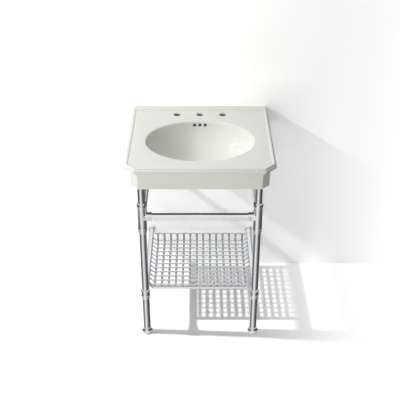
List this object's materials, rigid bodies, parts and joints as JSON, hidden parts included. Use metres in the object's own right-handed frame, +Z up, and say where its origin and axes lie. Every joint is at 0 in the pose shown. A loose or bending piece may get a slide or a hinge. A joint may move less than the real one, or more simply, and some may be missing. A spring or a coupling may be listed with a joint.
{
  "type": "console sink with legs",
  "caption": "Console washbasin with cut front corners, a moulded rim and an oval bowl, on tubular front legs with a crossbar, side rails back to the wall and a wire shelf.",
  "frame": {"origin": "centre of the bounding box at floor level", "axes": "+X to the user's right, +Y to the wall, +Z up"},
  "size_m": [0.61, 0.592, 0.889],
  "materials": {
    "glaze": "glossy off-white glaze",
    "chrome": "polished chrome plate",
    "rubber": "matt grey rubber",
    "brass": "machined brass",
    "steel": "zinc-plated steel"
  },
  "bodies": {
    "stand": {"basin": "glaze", "leg_tube_left": "chrome", "leg_tube_right": "chrome", "leg_cap_left": "chrome", "leg_cap_right": "chrome", "leg_cap_pad_left": "rubber", "leg_cap_pad_right": "rubber", "leg_plug_left": "brass", "leg_plug_right": "brass", "upper_tee_left": "chrome", "upper_tee_right": "chrome", "lower_tee_left": "chrome", "lower_tee_right": "chrome", "set_screws": "steel", "crossbar": "chrome", "upper_rail_left": "chrome", "upper_rail_right": "chrome", "shelf_rail_left": "chrome", "shelf_rail_right": "chrome", "upper_spigot_left": "brass", "upper_spigot_right": "brass", "shelf_spigot_left": "brass", "shelf_spigot_right": "brass", "shelf_long_wires": "chrome", "shelf_cross_wires": "chrome", "shelf_front_bar": "chrome", "shelf_rear_rod": "chrome"},
    "stud_left": {"levelling_stud_left": "steel"},
    "stud_right": {"levelling_stud_right": "steel"},
    "foot_left": {"foot_left": "chrome", "foot_pad_left": "rubber"},
    "foot_right": {"foot_right": "chrome", "foot_pad_right": "rubber"},
    "upper_cover_left": {"upper_cover_left": "chrome"},
    "upper_cover_right": {"upper_cover_right": "chrome"},
    "shelf_cover_left": {"shelf_cover_left": "chrome"},
    "shelf_cover_right": {"shelf_cover_right": "chrome"}
  },
  "joints": [
    {"name": "foot_left_travel", "type": "slide", "parent": "stand", "child": "stud_left", "axis": [0, 0, 1], "range_m": [-0.006, 0.008]},
    {"name": "foot_left_turn", "type": "hinge", "parent": "stud_left", "child": "foot_left", "pos_m": [-0.241, -0.227, 0], "axis": [0, 0, 1], "range_deg": [-1440, 1920]},
    {"name": "foot_right_travel", "type": "slide", "parent": "stand", "child": "stud_right", "axis": [0, 0, 1], "range_m": [-0.006, 0.008]},
    {"name": "foot_right_turn", "type": "hinge", "parent": "stud_right", "child": "foot_right", "pos_m": [0.241, -0.227, 0], "axis": [0, 0, 1], "range_deg": [-1440, 1920]},
    {"name": "upper_cover_left_slide", "type": "slide", "parent": "stand", "child": "upper_cover_left", "axis": [0, -1, 0], "range_m": [0, 0.025]},
    {"name": "shelf_cover_left_slide", "type": "slide", "parent": "stand", "child": "shelf_cover_left", "axis": [0, -1, 0], "range_m": [0, 0.025]},
    {"name": "upper_cover_right_slide", "type": "slide", "parent": "stand", "child": "upper_cover_right", "axis": [0, -1, 0], "range_m": [0, 0.025]},
    {"name": "shelf_cover_right_slide", "type": "slide", "parent": "stand", "child": "shelf_cover_right", "axis": [0, -1, 0], "range_m": [0, 0.025]}
  ],
  "couplings": [
    {"joint": "foot_left_travel", "follows": "foot_left_turn", "m_per_rad": 0.00023873},
    {"joint": "foot_right_travel", "follows": "foot_right_turn", "m_per_rad": 0.00023873}
  ]
}
